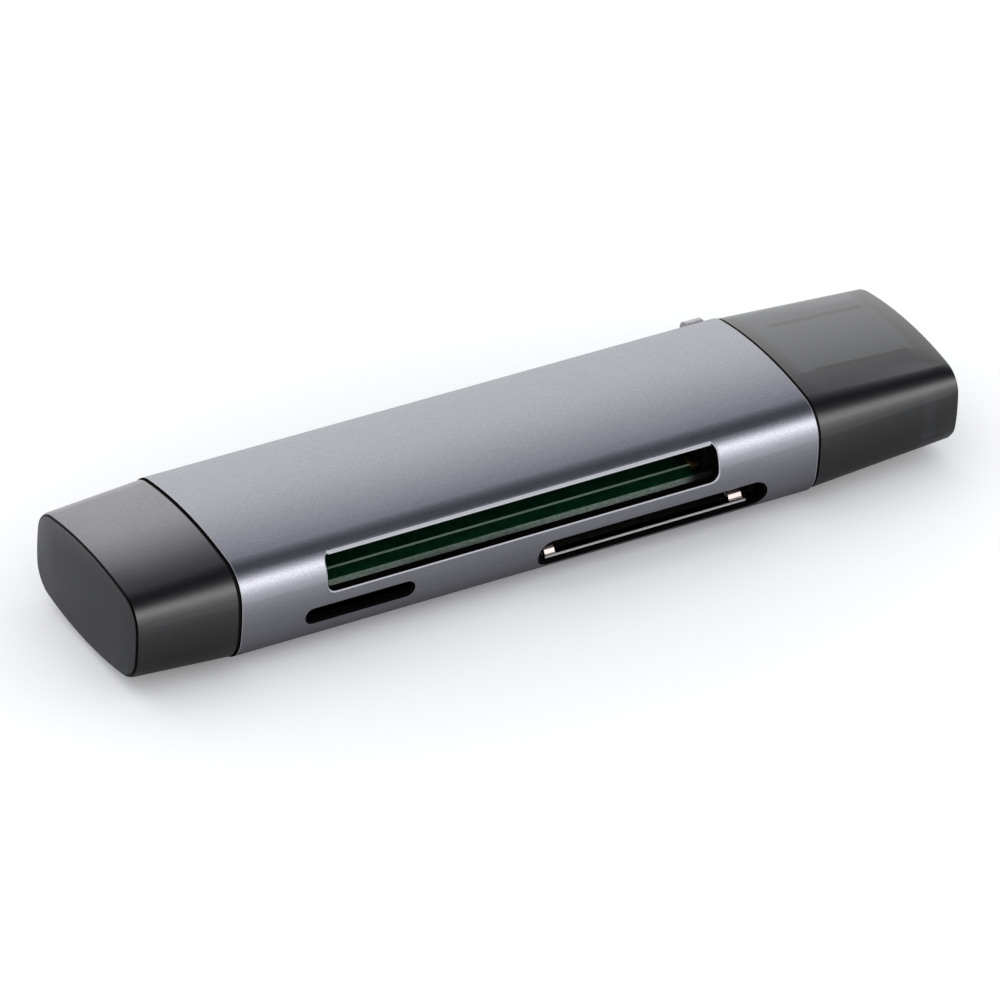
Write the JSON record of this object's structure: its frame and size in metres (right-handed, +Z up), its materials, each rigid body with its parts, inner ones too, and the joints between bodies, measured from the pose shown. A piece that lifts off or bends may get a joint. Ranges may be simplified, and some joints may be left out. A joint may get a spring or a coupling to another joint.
{
  "type": "memory card reader",
  "caption": "Pocket memory card reader: an aluminium tube with card openings along its front and a plug at each end under smoked pull-off caps.",
  "frame": {"origin": "middle of the flat land along the underside of the tube", "axes": "+X along the tube towards the end with the long cap, +Z up out of the table, so the card openings face -Y"},
  "size_m": [0.0925, 0.0234, 0.0121],
  "materials": {
    "anodised_aluminium": "bead-blasted and anodised grey",
    "lug_metal": "satin",
    "smoked_plastic": "smoked, translucent, fine texture",
    "black_moulding": "moulded, satin",
    "board_laminate": "green solder mask, pale cut edge",
    "plug_steel": "nickel-plated",
    "socket_steel": "bright sheet",
    "gold_plating": "gold-plated",
    "brass_strip": "dull",
    "tinned_pins": "tinned",
    "chip_epoxy": "moulded epoxy",
    "crystal_can": "satin",
    "capacitor_ceramic": "ceramic",
    "lamp_lens": "clear"
  },
  "bodies": {
    "reader": {"aluminium_tube": "anodised_aluminium", "lanyard_eye": "lug_metal", "rectangular_end_collar": "black_moulding", "oval_end_collar": "black_moulding", "main_board": "board_laminate", "wide_card_header": "black_moulding", "wide_card_pins": "gold_plating", "header_hold_downs": "brass_strip", "standard_socket_base": "black_moulding", "standard_socket_cover": "socket_steel", "standard_socket_contacts": "gold_plating", "small_socket_base": "black_moulding", "small_socket_cover": "socket_steel", "small_socket_contacts": "gold_plating", "rectangular_plug_shell": "plug_steel", "rectangular_plug_insulator": "black_moulding", "rectangular_plug_flat_contacts": "gold_plating", "rectangular_plug_raised_contacts": "gold_plating", "rectangular_plug_tails": "tinned_pins", "oval_plug_shell": "plug_steel", "oval_plug_insulator": "black_moulding", "oval_plug_contacts": "gold_plating", "oval_plug_latches": "plug_steel", "controller_chip": "chip_epoxy", "controller_leads": "tinned_pins", "crystal": "crystal_can", "regulator": "chip_epoxy", "chip_capacitors": "capacitor_ceramic", "chip_resistors": "chip_epoxy", "status_lamp": "lamp_lens"},
    "long_cap": {"long_cap": "smoked_plastic"},
    "short_cap": {"short_cap": "smoked_plastic"}
  },
  "joints": [
    {"name": "long_cap_pull", "type": "slide", "parent": "reader", "child": "long_cap", "axis": [1, 0, 0], "range_m": [0, 0.02]},
    {"name": "short_cap_pull", "type": "slide", "parent": "reader", "child": "short_cap", "axis": [-1, 0, 0], "range_m": [0, 0.013]}
  ]
}
